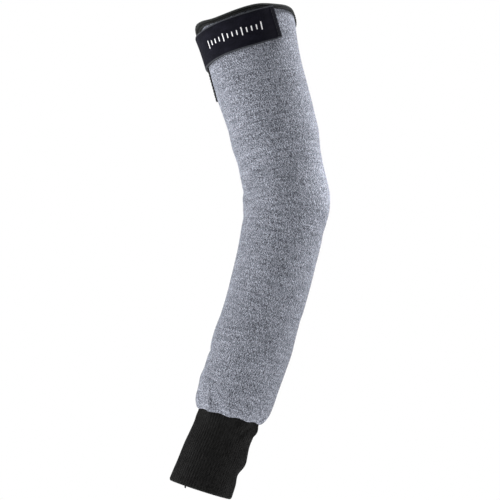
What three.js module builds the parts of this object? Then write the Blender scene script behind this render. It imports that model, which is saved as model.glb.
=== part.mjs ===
// Cut resistant sleeve for a bent arm, in millimetres, as it is worn on a left arm.
// +X is the outer side of the elbow, -Y is the side with the strap's free end, +Z is up.
// The origin is the middle of the upper arm opening. A place on the knit is given by two values:
// round, the angle about the arm from -Y towards +X, and along, the way down the arm from the rim.

import * as THREE from "three";
import { mergeVertices } from "three/addons/utils/BufferGeometryUtils.js";

// Lengths of the arm's line
const UPPER_ARM_LENGTH = 176;
const FOREARM_LENGTH = 201;
const CUFF_LENGTH = 70;

// Outer widths, left to right, and their depths, front to back
const RIM_WIDTH = 90;
const RIM_DEPTH = 80;
const ELBOW_WIDTH = 77;
const ELBOW_DEPTH = 65;
const FOREARM_WIDTH = 71;
const FOREARM_DEPTH = 60;
const HEM_WIDTH = 60;
const HEM_DEPTH = 53;
const CUFF_WIDTH = 57;
const CUFF_DEPTH = 48;

// Leans of the two halves of the arm from upright, in degrees
const UPPER_ARM_LEAN = 16;
const FOREARM_LEAN = 18;

// Knit walls and the gap between pieces
const TUBE_WALL = 1.5;
const CUFF_WALL = 2;
const CLEARANCE = 0.3;

// Rim, hems and the cuff's seam
const RIM_DROP = 19;
const HEM_SKEW = 2;
const CUFF_SKEW = 1.5;
const GATHER_LENGTH = 12;
const GATHER_DEPTH = 0.6;
const GATHER_WAVE = 0.5;
const GATHER_COUNT = 10;
const SEAM_OVERLAP = 8;
const SEAM_EASE = 9;

// Slit and its binding tape
const SLIT_ROUND = -97;
const SLIT_LENGTH = 65;
const SLIT_MOUTH = 8;
const SLIT_FOOT = 3.6;
const CORNER_RADIUS = 6;
const BINDING_WIDTH = 4.6;
const BINDING_THICKNESS = 1;

// Hook and loop strap and its pad
const STRAP_WIDTH = 30;
const STRAP_THICKNESS = 1.6;
const STRAP_FOLD_LENGTH = 4.5;
const STRAP_FOLD_THICKNESS = 0.6;
const STRAP_FOLD_INSET = 0.9;
const PAD_THICKNESS = 1;
const PAD_INSET = 4;

// Where the strap and its pad lie, in degrees round the arm: the strap is sewn on behind the slit,
// lies flat, rises over the binding and ends in front, with the pad under its front part
const STRAP_BEHIND_SLIT = 37;
const STRAP_FLAT_SPAN = 5;
const STRAP_RISE_SPAN = 10;
const STRAP_FREE_ROUND = 37.5;
const STRAP_FOLD_STEP = 0.4;
const PAD_PAST_SLIT = 29;
const PAD_SHORT_OF_END = 6.5;

// Numbers of steps of the facets
const ROUND_STEPS = 48;
const SLIT_STEPS = 5;
const SEAM_STEPS = 3;
const CUFF_STEPS = 8;
const CORNER_STEPS = 4;
const STRAP_STEPS = 32;
const PAD_STEPS = 16;
const STRAP_ACROSS = 4;

const DEGREE = Math.PI / 180;
const HEM_ALONG = UPPER_ARM_LENGTH + FOREARM_LENGTH;
const SLEEVE_LENGTH = HEM_ALONG + CUFF_LENGTH;

// Sections down the arm: at is a share of the stretch's length, lean of its lean,
// and near is how far the section still is like the stretch's upper end
const upperArmRows = [
  { at: 0, lean: 1.06, near: 1 },
  { at: 0.13, lean: 0.86, near: 0.77 },
  { at: 0.22, lean: 0.81, near: 0.61 },
  { at: 0.31, lean: 0.87, near: 0.53 },
  { at: 0.4, lean: 0.97, near: 0.48 },
  { at: 0.49, lean: 0.93, near: 0.3 },
  { at: 0.58, lean: 0.88, near: 0.15 },
  { at: 0.67, lean: 0.84, near: 0.2 },
  { at: 0.75, lean: 0.75, near: 0 },
  { at: 0.84, lean: 0.62, near: -0.06 },
  { at: 0.93, lean: 0.32, near: -0.03 },
];
const forearmRows = [
  { at: 0, lean: 0.02, near: 1 },
  { at: 0.09, lean: 0.46, near: 0.68 },
  { at: 0.17, lean: 0.64, near: 0.5 },
  { at: 0.25, lean: 0.71, near: 0.28 },
  { at: 0.33, lean: 0.78, near: 0.22 },
  { at: 0.49, lean: 0.9, near: 0.03 },
  { at: 0.57, lean: 0.96, near: 0.08 },
  { at: 0.65, lean: 0.96, near: 0.38 },
  { at: 0.73, lean: 0.96, near: 0.18 },
  { at: 0.81, lean: 1.02, near: -0.05 },
  { at: 0.89, lean: 1.03, near: -0.1 },
  { at: 0.95, lean: 1.02, near: -0.35 },
  { at: 1, lean: 1.02, near: -0.5 },
];
const cuffRows = [
  { at: 0, lean: 1.05, size: 1.02 },
  { at: 0.14, lean: 1.14, size: 0.99 },
  { at: 0.3, lean: 1.22, size: 0.98 },
  { at: 0.5, lean: 1.27, size: 1.01 },
  { at: 0.74, lean: 1.22, size: 1.005 },
  { at: 1, lean: 1.15, size: 1.025 },
];

// Rows of facets from the slit's foot to the gathers: to is a share of the tube's length
const facetRows = [
  { to: 0.37, steps: 4 },
  { to: 0.56, steps: 9 },
  { to: 0.84, steps: 6 },
  { to: 1, steps: 5 },
];

// Fall of the rim below a level cut: round in degrees, drop as a share of RIM_DROP
const rimRows = [
  { round: -105, drop: -0.08 },
  { round: -82, drop: -0.16 },
  { round: -60, drop: -0.08 },
  { round: -35, drop: 0 },
  { round: 15, drop: 0 },
  { round: 42, drop: 0.17 },
  { round: 65, drop: 0.28 },
  { round: 82, drop: 0.42 },
  { round: 98, drop: 0.75 },
  { round: 122, drop: 1 },
  { round: 155, drop: 0.9 },
  { round: 190, drop: 0.45 },
  { round: 218, drop: 0.1 },
  { round: 235, drop: -0.02 },
];

// The strap from its sewn end to its free end: at is a share of that way, top and width of its width
const strapRows = [
  { at: 0, top: 0.28, width: 1.08 },
  { at: 0.23, top: 0.22, width: 1.1 },
  { at: 0.4, top: 0.18, width: 1.1 },
  { at: 0.58, top: 0.15, width: 1.06 },
  { at: 0.78, top: 0.155, width: 1.02 },
  { at: 1, top: 0.13, width: 0.97 },
];

// Folds and dents of the knit: at and slant are shares of the stretch's length, round and spans are
// in degrees, and length and height are shares of its width
const foldRows = [
  { at: 0.04, round: 96, spans: 34, slant: 0, length: 0.14, height: 0.012 },
  { at: 0.3, round: -70, spans: 34, slant: 0.02, length: 0.12, height: 0.008 },
  { at: 0.42, round: -58, spans: 40, slant: 0.05, length: 0.08, height: 0.009 },
  { at: 0.45, round: -70, spans: 46, slant: 0.04, length: 0.07, height: -0.013 },
  { at: 0.485, round: -62, spans: 40, slant: 0.05, length: 0.07, height: 0.007 },
  { at: 0.53, round: -74, spans: 40, slant: 0.03, length: 0.08, height: -0.008 },
  { at: 0.27, round: 92, spans: 50, slant: 0, length: 0.34, height: 0.026 },
  { at: 0.46, round: 90, spans: 55, slant: -0.02, length: 0.25, height: 0.04 },
  { at: 0.53, round: 84, spans: 44, slant: -0.03, length: 0.07, height: -0.008 },
  { at: 0.86, round: -92, spans: 44, slant: 0.03, length: 0.06, height: -0.016 },
  { at: 0.93, round: -88, spans: 50, slant: 0.02, length: 0.07, height: 0.012 },
  { at: 0.76, round: 60, spans: 50, slant: -0.04, length: 0.1, height: -0.01 },
  { at: 0.66, round: 20, spans: 60, slant: 0.05, length: 0.12, height: 0.008 },
];
const cuffFoldRows = [
  { at: 0.08, round: 74, spans: 30, slant: -0.1, length: 0.08, height: 0.02 },
  { at: 0.22, round: 88, spans: 42, slant: -0.06, length: 0.14, height: -0.02 },
  { at: 0.48, round: 94, spans: 40, slant: 0.03, length: 0.12, height: 0.018 },
  { at: 0.65, round: 94, spans: 44, slant: 0.02, length: 0.11, height: -0.032 },
];

// A smooth curve through a table's rows, level beyond its ends
function throughRows(rows, from, value, at) {
  const last = rows.length - 1;
  if (at <= rows[0][from]) return rows[0][value];
  if (at >= rows[last][from]) return rows[last][value];
  let row = 0;
  while (at > rows[row + 1][from]) row += 1;
  const slope = (low, high) => {
    const a = rows[Math.max(low, 0)];
    const b = rows[Math.min(high, last)];
    return (b[value] - a[value]) / (b[from] - a[from]);
  };
  const span = rows[row + 1][from] - rows[row][from];
  const t = (at - rows[row][from]) / span;
  const start = rows[row][value];
  const end = rows[row + 1][value];
  const leave = row === 0 ? 0 : slope(row - 1, row + 1) * span;
  const arrive = row + 1 === last ? 0 : slope(row, row + 2) * span;
  const t2 = t * t;
  const t3 = t2 * t;
  const byEnds = (2 * t3 - 3 * t2 + 1) * start + (3 * t2 - 2 * t3) * end;
  return byEnds + (t3 - 2 * t2 + t) * leave + (t3 - t2) * arrive;
}

const mix = THREE.MathUtils.lerp;
const ease = THREE.MathUtils.smoothstep;

// The rows of all stretches as lengths, leans and sizes of the real sleeve
const stations = [
  ...upperArmRows.map((row) => ({
    along: row.at * UPPER_ARM_LENGTH,
    lean: row.lean * UPPER_ARM_LEAN,
    width: mix(ELBOW_WIDTH, RIM_WIDTH, row.near),
    depth: mix(ELBOW_DEPTH, RIM_DEPTH, row.near),
  })),
  ...forearmRows.map((row) => ({
    along: UPPER_ARM_LENGTH + row.at * FOREARM_LENGTH,
    lean: -row.lean * FOREARM_LEAN,
    width: mix(FOREARM_WIDTH, ELBOW_WIDTH, row.near),
    depth: mix(FOREARM_DEPTH, ELBOW_DEPTH, row.near),
  })),
];
const cuffStations = cuffRows.map((row) => ({
  along: HEM_ALONG + row.at * CUFF_LENGTH,
  lean: -row.lean * FOREARM_LEAN,
  width: row.size * CUFF_WIDTH,
  depth: row.size * CUFF_DEPTH,
}));
const leanStations = [...stations.slice(0, -1), ...cuffStations];

// The arm's line, found by adding up short steps down its lean
const LINE_STEP = 1;
const line = [{ x: 0, z: 0 }];
for (let along = 0; along < SLEEVE_LENGTH + CUFF_SKEW; along += LINE_STEP) {
  const lean = throughRows(leanStations, "along", "lean", along + LINE_STEP / 2) * DEGREE;
  const point = line[line.length - 1];
  line.push({ x: point.x + Math.sin(lean) * LINE_STEP, z: point.z - Math.cos(lean) * LINE_STEP });
}

function armFrame(along) {
  const lean = throughRows(leanStations, "along", "lean", along) * DEGREE;
  const step = THREE.MathUtils.clamp(Math.floor(along / LINE_STEP), 0, line.length - 2);
  const rest = along / LINE_STEP - step;
  return {
    x: mix(line[step].x, line[step + 1].x, rest),
    z: mix(line[step].z, line[step + 1].z, rest),
    sideX: Math.cos(lean),
    sideZ: Math.sin(lean),
  };
}

function fallOfRim(round) {
  const turned = round / DEGREE;
  const within = turned - 360 * Math.floor((turned - SLIT_ROUND) / 360);
  return RIM_DROP * throughRows(rimRows, "round", "drop", within);
}

const scallop = (round) => Math.cos(GATHER_COUNT * round);
const hemAlong = (round) => HEM_ALONG - HEM_SKEW * Math.sin(round) + GATHER_WAVE * scallop(round);
const cuffEndAlong = (round) => SLEEVE_LENGTH - CUFF_SKEW * Math.sin(round);

// The sum of the folds at one place, as a height over the plain section
function foldHeight(rows, round, along, start, reach, size) {
  let height = 0;
  for (const row of rows) {
    let turn = round / DEGREE - row.round;
    turn -= 360 * Math.round(turn / 360);
    const across = turn / row.spans;
    const middle = start + (row.at + row.slant * across) * reach;
    const down = (along - middle) / (row.length * size);
    height += row.height * size * Math.exp(-across * across - down * down);
  }
  return height;
}

function sectionPoint(round, along, width, depth, height) {
  const frame = armFrame(along);
  const side = (width / 2 + height) * Math.sin(round);
  const front = (depth / 2 + height) * Math.cos(round);
  return new THREE.Vector3(frame.x + frame.sideX * side, -front, frame.z + frame.sideZ * side);
}

// The outer face of the tube
function tubeFace(round, along) {
  const pull = THREE.MathUtils.clamp(1 - (hemAlong(round) - along) / GATHER_LENGTH, 0, 1);
  const narrow = pull * pull;
  const width = throughRows(stations, "along", "width", along);
  const depth = throughRows(stations, "along", "depth", along);
  const ripple = GATHER_DEPTH * narrow * scallop(round);
  const folds = foldHeight(foldRows, round, along, 0, HEM_ALONG, FOREARM_WIDTH);
  return sectionPoint(
    round,
    along,
    mix(width, HEM_WIDTH, narrow),
    mix(depth, HEM_DEPTH, narrow),
    folds + ripple,
  );
}

// Steps that a face's slopes are taken over, in radians and in millimetres
const NEAR_ROUND = 0.01;
const NEAR_ALONG = 0.4;

// A point that lies off a face, outwards along its normal
function offFace(face, round, along, off) {
  const point = face(round, along);
  const turned = face(round + NEAR_ROUND, along).sub(face(round - NEAR_ROUND, along));
  const down = face(round, along + NEAR_ALONG).sub(face(round, along - NEAR_ALONG));
  return point.addScaledVector(down.cross(turned).normalize(), off);
}

const offTube = (round, along, off) => offFace(tubeFace, round, along, off);

// The outer face of the cuff: inside the tube down to its hem, then its own section
function cuffFace(round, along) {
  const inside = offTube(round, along, -(TUBE_WALL + CLEARANCE));
  const folds = foldHeight(cuffFoldRows, round, along, HEM_ALONG, CUFF_LENGTH, CUFF_WIDTH);
  const own = sectionPoint(
    round,
    along,
    throughRows(cuffStations, "along", "width", along),
    throughRows(cuffStations, "along", "depth", along),
    folds,
  );
  const hem = hemAlong(round);
  return inside.lerp(own, ease(along, hem, hem + SEAM_EASE));
}

const offCuff = (round, along, off) => offFace(cuffFace, round, along, off);

// Corners closer than this are one corner
const MERGE_WITHIN = 0.001;

// A closed mesh from quads of points, with its shared corners merged
class Skin {
  constructor() {
    this.corners = [];
  }

  triangle(a, b, c) {
    for (const point of [a, b, c]) this.corners.push(point.x, point.y, point.z);
  }

  quad(a, b, c, d) {
    this.triangle(a, b, c);
    this.triangle(a, c, d);
  }

  // Joins two rows of points, which face to the left of the way they run
  band(upper, lower) {
    for (let i = 0; i + 1 < upper.length; i += 1) {
      this.quad(upper[i], lower[i], lower[i + 1], upper[i + 1]);
    }
  }

  mesh(name, colour, roughness) {
    const open = new THREE.BufferGeometry();
    open.setAttribute("position", new THREE.Float32BufferAttribute(this.corners, 3));
    const geometry = mergeVertices(open, MERGE_WITHIN);
    geometry.computeVertexNormals();
    const material = new THREE.MeshStandardMaterial({ color: colour, roughness, metalness: 0 });
    const mesh = new THREE.Mesh(geometry, material);
    mesh.name = name;
    return mesh;
  }
}

// Ways over the face near the slit: across is a length from the slit's middle
const SLIT_MIDDLE = SLIT_ROUND * DEGREE;
const acrossToRound = (across) => across / (RIM_DEPTH / 2);
const slitHalf = (along) => mix(SLIT_MOUTH, SLIT_FOOT, along / SLIT_LENGTH) / 2;

// The free edge from the rim in front of the slit to the slit's foot, as across and along
function slitEdge(inset) {
  const radius = CORNER_RADIUS - inset;
  const foot = SLIT_FOOT / 2 + inset;
  const footStart = SLIT_LENGTH - SLIT_FOOT / 2;
  const points = [];
  for (let i = CORNER_STEPS; i > 0; i -= 1) {
    const turn = (i / CORNER_STEPS) * (Math.PI / 2);
    points.push({
      across: slitHalf(CORNER_RADIUS) + inset + radius * (1 - Math.cos(turn)),
      along: CORNER_RADIUS - radius * Math.sin(turn),
    });
  }
  for (let i = 0; i < SLIT_STEPS; i += 1) {
    const along = mix(CORNER_RADIUS, footStart, i / SLIT_STEPS);
    points.push({ across: slitHalf(along) + inset, along });
  }
  for (let i = 0; i <= CORNER_STEPS; i += 1) {
    const turn = (i / CORNER_STEPS) * (Math.PI / 2);
    points.push({ across: foot * Math.cos(turn), along: footStart + foot * Math.sin(turn) });
  }
  return points;
}

// Columns of facets round the knit as turns from the slit's middle, closer together at its corners
const knitEdge = slitEdge(CLEARANCE);
const knitCorner = knitEdge.slice(0, CORNER_STEPS + 1);
function columnTurns() {
  const corner = knitCorner.map((point) => acrossToRound(point.across));
  const turns = [...corner].reverse();
  const plain = ROUND_STEPS - 2 * CORNER_STEPS;
  for (let i = 1; i < plain; i += 1) turns.push(mix(corner[0], 2 * Math.PI - corner[0], i / plain));
  for (const turn of corner) turns.push(2 * Math.PI - turn);
  return turns;
}
const turns = columnTurns();
const last = turns.length - 1;

// The angle of a column where the slit is as wide as half each side
function columnRound(column, half) {
  const share = (turns[column] - turns[0]) / (turns[last] - turns[0]);
  return SLIT_MIDDLE + mix(half, 2 * Math.PI - half, share);
}

function sleeveTube() {
  const skin = new Skin();
  const topAlong = (column) => {
    const round = SLIT_MIDDLE + turns[column];
    const step = Math.min(column, last - column);
    const climb = fallOfRim(round + NEAR_ROUND) - fallOfRim(round - NEAR_ROUND);
    const under = CLEARANCE * Math.hypot(1, climb / (NEAR_ROUND * RIM_DEPTH));
    return fallOfRim(round) + (step < CORNER_STEPS ? knitCorner[CORNER_STEPS - step].along : under);
  };

  const rows = [];
  const slitRows = knitEdge.slice(CORNER_STEPS);
  const footAlong = slitRows[slitRows.length - 1].along;
  for (const point of slitRows) {
    const share = (point.along - slitRows[0].along) / (footAlong - slitRows[0].along);
    const half = acrossToRound(point.across);
    rows.push((column) => ({
      round: columnRound(column, half),
      along: mix(topAlong(column), footAlong, share),
    }));
  }
  const below = (from, to, steps) => {
    for (let i = 1; i <= steps; i += 1) {
      rows.push((column) => {
        const round = columnRound(column, 0);
        return { round, along: mix(from(round), to(round), i / steps) };
      });
    }
  };
  let from = () => footAlong;
  for (const stretch of facetRows) {
    const to = (round) => stretch.to * (hemAlong(round) - SEAM_OVERLAP);
    below(from, to, stretch.steps);
    from = to;
  }
  below(from, hemAlong, SEAM_STEPS);

  const grid = (off) =>
    rows.map((place) =>
      turns.map((_, column) => {
        const { round, along } = place(column);
        return offTube(round, along, off);
      }),
    );
  const outer = grid(0);
  const inner = grid(-TUBE_WALL);
  const foot = slitRows.length - 1;
  for (let i = 0; i + 1 < rows.length; i += 1) {
    skin.band(outer[i], outer[i + 1]);
    skin.band(inner[i + 1], inner[i]);
    if (i < foot) {
      skin.quad(outer[i][0], inner[i][0], inner[i + 1][0], outer[i + 1][0]);
      skin.quad(inner[i][last], outer[i][last], outer[i + 1][last], inner[i + 1][last]);
    }
  }
  skin.band(inner[0], outer[0]);
  skin.band(outer[rows.length - 1], inner[rows.length - 1]);
  return skin.mesh("sleeve_tube", 0x8f9298, 0.9);
}

function wristCuff() {
  const skin = new Skin();
  const alongs = [];
  for (let i = 0; i < SEAM_STEPS; i += 1) {
    alongs.push((round) => hemAlong(round) - SEAM_OVERLAP * (1 - i / SEAM_STEPS));
  }
  for (let i = 0; i <= CUFF_STEPS; i += 1) {
    alongs.push((round) => mix(hemAlong(round), cuffEndAlong(round), i / CUFF_STEPS));
  }
  const grid = (off) =>
    alongs.map((along) =>
      turns.map((_, column) => {
        const round = columnRound(column, 0);
        return offCuff(round, along(round), off);
      }),
    );
  const outer = grid(0);
  const inner = grid(-CUFF_WALL);
  const end = alongs.length - 1;
  for (let i = 0; i < end; i += 1) {
    skin.band(outer[i], outer[i + 1]);
    skin.band(inner[i + 1], inner[i]);
  }
  skin.band(inner[0], outer[0]);
  skin.band(outer[end], inner[end]);
  return skin.mesh("wrist_cuff", 0x1b1b1c, 0.92);
}

// The whole free edge as a closed way of round and along, the rim first and then the slit
function freeEdge() {
  const edge = slitEdge(0);
  const way = [];
  for (let column = CORNER_STEPS; column < last - CORNER_STEPS; column += 1) {
    const round = SLIT_MIDDLE + turns[column];
    way.push({ round, along: fallOfRim(round) });
  }
  const behind = edge.map((point) => ({
    round: SLIT_MIDDLE + 2 * Math.PI - acrossToRound(point.across),
    along: point.along + fallOfRim(SLIT_MIDDLE - acrossToRound(point.across)),
  }));
  const before = edge.map((point) => ({
    round: SLIT_MIDDLE + 2 * Math.PI + acrossToRound(point.across),
    along: point.along + fallOfRim(SLIT_MIDDLE + acrossToRound(point.across)),
  }));
  way.push(...behind, ...before.slice(1).reverse().slice(1));
  return way;
}

// Tape folded over the free edge: its section runs down the outside and up the inside
function edgeBinding() {
  const way = freeEdge();
  const out = CLEARANCE + BINDING_THICKNESS;
  const section = [
    { in: BINDING_WIDTH - BINDING_THICKNESS, off: CLEARANCE },
    { in: BINDING_WIDTH - BINDING_THICKNESS, off: out },
    { in: 0, off: out },
    { in: -BINDING_THICKNESS, off: CLEARANCE },
    { in: -BINDING_THICKNESS, off: -TUBE_WALL - CLEARANCE },
    { in: 0, off: -TUBE_WALL - out },
    { in: BINDING_WIDTH - BINDING_THICKNESS, off: -TUBE_WALL - out },
    { in: BINDING_WIDTH - BINDING_THICKNESS, off: -TUBE_WALL - CLEARANCE },
    { in: 0, off: -TUBE_WALL - CLEARANCE },
    { in: 0, off: CLEARANCE },
  ];
  const full = 2 * Math.PI;
  const rings = way.map((place, i) => {
    const before = way[(i + way.length - 1) % way.length];
    const after = way[(i + 1) % way.length];
    const girth = RIM_DEPTH / 2;
    let turned = after.round - before.round;
    turned -= full * Math.round(turned / full);
    const run = new THREE.Vector2(turned * girth, after.along - before.along).normalize();
    return section.map((corner) => {
      const round = place.round - (run.y * corner.in) / girth;
      return offTube(round, place.along + run.x * corner.in, corner.off);
    });
  });
  const skin = new Skin();
  rings.forEach((ring, i) => {
    const next = rings[(i + 1) % rings.length];
    skin.band([...ring, ring[0]], [...next, next[0]]);
  });
  return skin.mesh("edge_binding", 0x2a2c2e, 0.85);
}

// A flat tape over the face, from one angle to another: each row gives its own edges and faces
function tapeOver(rows) {
  const skin = new Skin();
  const sheets = ["low", "high"].map((face) =>
    rows.map((row) => {
      const points = [];
      for (let i = 0; i <= STRAP_ACROSS; i += 1) {
        points.push(offTube(row.round, mix(row.top, row.bottom, i / STRAP_ACROSS), row[face]));
      }
      return points;
    }),
  );
  const [under, over] = sheets;
  const last = rows.length - 1;
  for (let i = 0; i < last; i += 1) {
    skin.band(over[i + 1], over[i]);
    skin.band(under[i], under[i + 1]);
    skin.quad(under[i][0], over[i][0], over[i + 1][0], under[i + 1][0]);
    const end = STRAP_ACROSS;
    skin.quad(over[i][end], under[i][end], under[i + 1][end], over[i + 1][end]);
  }
  skin.band(over[0], under[0]);
  skin.band(under[last], over[last]);
  return skin;
}

// The strap's edges at an angle in degrees
const STRAP_SEWN_ROUND = SLIT_ROUND - STRAP_BEHIND_SLIT;
function strapEdges(degrees) {
  const share = (degrees - STRAP_SEWN_ROUND) / (STRAP_FREE_ROUND - STRAP_SEWN_ROUND);
  const top = STRAP_WIDTH * throughRows(strapRows, "at", "top", share);
  const width = STRAP_WIDTH * throughRows(strapRows, "at", "width", share);
  return { top, bottom: top + width };
}

function closureStrap() {
  const lifted = CLEARANCE + Math.max(BINDING_THICKNESS, PAD_THICKNESS) + CLEARANCE;
  const riseRound = STRAP_SEWN_ROUND + STRAP_FLAT_SPAN;
  const foldRound = STRAP_FREE_ROUND - acrossToRound(STRAP_FOLD_LENGTH) / DEGREE;
  const rowAt = (degrees, folded) => {
    const { top, bottom } = strapEdges(degrees);
    const low = mix(CLEARANCE, lifted, ease(degrees, riseRound, riseRound + STRAP_RISE_SPAN));
    return {
      round: degrees * DEGREE,
      top,
      bottom: bottom - (folded ? STRAP_FOLD_INSET : 0),
      low,
      high: low + STRAP_THICKNESS + (folded ? STRAP_FOLD_THICKNESS : 0),
    };
  };
  const rows = [];
  for (let i = 0; i <= STRAP_STEPS; i += 1) {
    rows.push(rowAt(mix(STRAP_SEWN_ROUND, foldRound, i / STRAP_STEPS), false));
  }
  rows.push(rowAt(foldRound + STRAP_FOLD_STEP, true));
  rows.push(rowAt(STRAP_FREE_ROUND, true));
  return tapeOver(rows).mesh("closure_strap", 0x232326, 0.88);
}

function loopPad() {
  const start = SLIT_ROUND + PAD_PAST_SLIT;
  const end = STRAP_FREE_ROUND - PAD_SHORT_OF_END;
  const rows = [];
  for (let i = 0; i <= PAD_STEPS; i += 1) {
    const degrees = mix(start, end, i / PAD_STEPS);
    const { top, bottom } = strapEdges(degrees);
    rows.push({
      round: degrees * DEGREE,
      top: top + PAD_INSET,
      bottom: bottom - PAD_INSET,
      low: CLEARANCE,
      high: CLEARANCE + PAD_THICKNESS,
    });
  }
  return tapeOver(rows).mesh("loop_pad", 0x1f1f22, 0.95);
}

const sleeve = new THREE.Group();
sleeve.add(sleeveTube(), wristCuff(), edgeBinding(), closureStrap(), loopPad());

export default sleeve;
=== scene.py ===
import math

import bpy
import numpy as np
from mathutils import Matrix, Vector


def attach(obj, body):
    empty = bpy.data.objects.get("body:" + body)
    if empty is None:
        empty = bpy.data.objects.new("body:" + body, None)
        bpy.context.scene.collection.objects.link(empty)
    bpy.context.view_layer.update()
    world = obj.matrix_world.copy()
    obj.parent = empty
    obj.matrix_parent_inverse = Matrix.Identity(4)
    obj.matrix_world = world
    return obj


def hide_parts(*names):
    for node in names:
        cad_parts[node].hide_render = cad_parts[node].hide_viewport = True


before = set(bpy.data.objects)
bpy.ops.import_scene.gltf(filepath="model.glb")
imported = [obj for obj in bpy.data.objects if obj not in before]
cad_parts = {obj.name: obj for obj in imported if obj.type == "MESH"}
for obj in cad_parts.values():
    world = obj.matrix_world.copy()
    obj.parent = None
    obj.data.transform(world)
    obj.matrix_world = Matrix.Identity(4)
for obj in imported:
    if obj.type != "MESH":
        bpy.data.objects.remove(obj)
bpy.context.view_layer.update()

# Sizes are in millimetres, as the part's source has them, and go into meshes in metres
MM = 0.001
DEGREE = math.pi / 180
TURN = 2 * math.pi

UPPER_ARM_LENGTH = 176
FOREARM_LENGTH = 201
CUFF_LENGTH = 70
RIM_WIDTH = 90
RIM_DEPTH = 80
ELBOW_WIDTH = 77
ELBOW_DEPTH = 65
FOREARM_WIDTH = 71
FOREARM_DEPTH = 60
HEM_WIDTH = 60
HEM_DEPTH = 53
CUFF_WIDTH = 57
CUFF_DEPTH = 48
UPPER_ARM_LEAN = 16
FOREARM_LEAN = 18
TUBE_WALL = 1.5
CUFF_WALL = 2
CLEARANCE = 0.3
RIM_DROP = 19
HEM_SKEW = 2
CUFF_SKEW = 1.5
GATHER_LENGTH = 12
GATHER_DEPTH = 0.6
GATHER_WAVE = 0.5
GATHER_COUNT = 10
SEAM_OVERLAP = 8
SEAM_EASE = 9
SLIT_ROUND = -97
SLIT_LENGTH = 65
SLIT_MOUTH = 8
SLIT_FOOT = 3.6
CORNER_RADIUS = 6
BINDING_WIDTH = 4.6
BINDING_THICKNESS = 1
STRAP_WIDTH = 30
STRAP_THICKNESS = 1.6
STRAP_FOLD_LENGTH = 4.5
STRAP_FOLD_THICKNESS = 0.6
STRAP_FOLD_INSET = 0.9
PAD_THICKNESS = 1
PAD_INSET = 4

# Places round the arm, in degrees
STRAP_BEHIND_SLIT = 37
STRAP_FLAT_SPAN = 5
STRAP_RISE_SPAN = 10
STRAP_FREE_ROUND = 37.5
PAD_PAST_SLIT = 29
PAD_SHORT_OF_END = 6.5
STRAP_SEWN_ROUND = SLIT_ROUND - STRAP_BEHIND_SLIT
PAD_START_ROUND = SLIT_ROUND + PAD_PAST_SLIT
PAD_END_ROUND = STRAP_FREE_ROUND - PAD_SHORT_OF_END

HEM_ALONG = UPPER_ARM_LENGTH + FOREARM_LENGTH
SLEEVE_LENGTH = HEM_ALONG + CUFF_LENGTH

# Columns: at, lean, near
upper_arm_rows = [
    (0, 1.06, 1), (0.13, 0.86, 0.77), (0.22, 0.81, 0.61), (0.31, 0.87, 0.53),
    (0.4, 0.97, 0.48), (0.49, 0.93, 0.3), (0.58, 0.88, 0.15), (0.67, 0.84, 0.2),
    (0.75, 0.75, 0), (0.84, 0.62, -0.06), (0.93, 0.32, -0.03),
]
forearm_rows = [
    (0, 0.02, 1), (0.09, 0.46, 0.68), (0.17, 0.64, 0.5), (0.25, 0.71, 0.28),
    (0.33, 0.78, 0.22), (0.49, 0.9, 0.03), (0.57, 0.96, 0.08), (0.65, 0.96, 0.38),
    (0.73, 0.96, 0.18), (0.81, 1.02, -0.05), (0.89, 1.03, -0.1), (0.95, 1.02, -0.35),
    (1, 1.02, -0.5),
]
# Columns: at, lean, size
cuff_rows = [
    (0, 1.05, 1.02), (0.14, 1.14, 0.99), (0.3, 1.22, 0.98), (0.5, 1.27, 1.01),
    (0.74, 1.22, 1.005), (1, 1.15, 1.025),
]
# Columns: round, drop. Beside the front of the slit it stands up to 2 mm over the plain solid
rim_rows = [
    (-105, -0.08), (-82, -0.27), (-60, -0.17), (-35, 0), (15, 0), (42, 0.17), (65, 0.28),
    (82, 0.42), (98, 0.75), (122, 1), (155, 0.9), (190, 0.45), (218, 0.1), (235, -0.02),
]
# Columns: at, top, width
strap_rows = [
    (0, 0.28, 1.08), (0.23, 0.185, 1.13), (0.4, 0.165, 1.11), (0.58, 0.15, 1.06),
    (0.78, 0.155, 1.02), (1, 0.13, 0.97),
]
# Columns: at, round, spans, slant, length, height
fold_rows = [
    (0.04, 96, 34, 0, 0.14, 0.012), (0.3, -70, 34, 0.02, 0.12, 0.008),
    (0.42, -58, 40, 0.05, 0.08, 0.009), (0.45, -70, 46, 0.04, 0.07, -0.013),
    (0.485, -62, 40, 0.05, 0.07, 0.007), (0.53, -74, 40, 0.03, 0.08, -0.008),
    (0.27, 92, 50, 0, 0.34, 0.026), (0.46, 90, 55, -0.02, 0.25, 0.04),
    (0.53, 84, 44, -0.03, 0.07, -0.008), (0.86, -92, 44, 0.03, 0.06, -0.016),
    (0.93, -88, 50, 0.02, 0.07, 0.012), (0.76, 60, 50, -0.04, 0.1, -0.01),
    (0.66, 20, 60, 0.05, 0.12, 0.008),
]
cuff_fold_rows = [
    (0.08, 74, 30, -0.1, 0.08, 0.02), (0.22, 88, 42, -0.06, 0.14, -0.02),
    (0.48, 94, 40, 0.03, 0.12, 0.018), (0.65, 94, 44, 0.02, 0.11, -0.032),
]
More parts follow.
